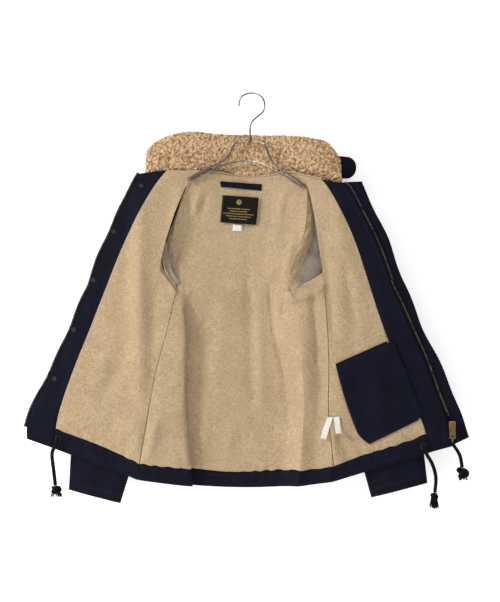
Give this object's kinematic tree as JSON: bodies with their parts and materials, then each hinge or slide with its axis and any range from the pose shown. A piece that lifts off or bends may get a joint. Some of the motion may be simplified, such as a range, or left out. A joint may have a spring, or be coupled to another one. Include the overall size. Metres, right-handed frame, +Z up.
{
  "type": "deck jacket on a wire hanger",
  "caption": "Navy deck jacket held wide open on a chromed wire hanger, showing its wool pile lining, boa collar, satin sleeve linings, snap facing, zip and hem drawcords.",
  "frame": {"origin": "The hang point: the underside of the hanger hook's crown, where a rail carries the hanger.", "axes": "+Z up, +X to the right of someone who looks at the open lining, +Y away from that person, through the jacket to its outside."},
  "size_m": [0.937, 0.0625, 0.8745],
  "materials": {
    "navy_cloth": "ribbed navy cotton cord cloth, matte",
    "pile_lining": "short napped tan wool pile",
    "boa_pile": "deep curly tan pile",
    "sleeve_satin": "smooth satin",
    "label_cloth": "woven label, dull",
    "white_tag": "thin printed ribbon, matte",
    "zip_tape": "woven tape, matte",
    "black_cord": "braided cord, matte",
    "chromed_wire": "polished",
    "dark_metal": "dark plated, worn",
    "copper": "satin copper colour",
    "aged_brass": "aged, dull"
  },
  "bodies": {
    "jacket": {"back_lining": "pile_lining", "back_shell": "navy_cloth", "care_label_1": "white_tag", "care_label_2": "white_tag", "collar_pile": "boa_pile", "collar_tab": "navy_cloth", "drawcord_knot_left": "black_cord", "drawcord_knot_right": "black_cord", "drawcord_left": "black_cord", "drawcord_right": "black_cord", "eyelet_left": "dark_metal", "eyelet_right": "dark_metal", "front_left_facing": "navy_cloth", "front_left_lining": "pile_lining", "front_left_shell": "navy_cloth", "front_right_facing": "navy_cloth", "front_right_lining": "pile_lining", "front_right_shell": "navy_cloth", "hang_loop": "navy_cloth", "hanger_ferrule": "chromed_wire", "hanger_hook": "chromed_wire", "hanger_lower_wire": "chromed_wire", "hanger_tip_left": "chromed_wire", "hanger_tip_right": "chromed_wire", "hanger_top_wire": "chromed_wire", "hem_band_back": "navy_cloth", "hem_band_left": "navy_cloth", "hem_band_right": "navy_cloth", "inside_pocket": "navy_cloth", "neck_label": "label_cloth", "size_tag": "white_tag", "sleeve_left": "navy_cloth", "sleeve_lining_left": "sleeve_satin", "sleeve_lining_right": "sleeve_satin", "sleeve_right": "navy_cloth", "snap_1": "dark_metal", "snap_2": "dark_metal", "snap_3": "dark_metal", "snap_4": "dark_metal", "snap_5": "dark_metal", "storm_flap": "navy_cloth", "under_collar": "navy_cloth", "zip_slider": "copper", "zip_tape_left": "zip_tape", "zip_tape_right": "zip_tape"},
    "zip_pull": {"zip_pull_cord": "black_cord", "zip_pull_knot": "black_cord", "zip_pull_ring": "aged_brass", "zip_pull_tab": "aged_brass"}
  },
  "joints": [
    {"name": "zip_pull_hinge", "type": "hinge", "parent": "jacket", "child": "zip_pull", "pos_m": [0.42, -0.00995, -0.69], "axis": [-1, 0, 0], "range_deg": [0, 150]}
  ]
}
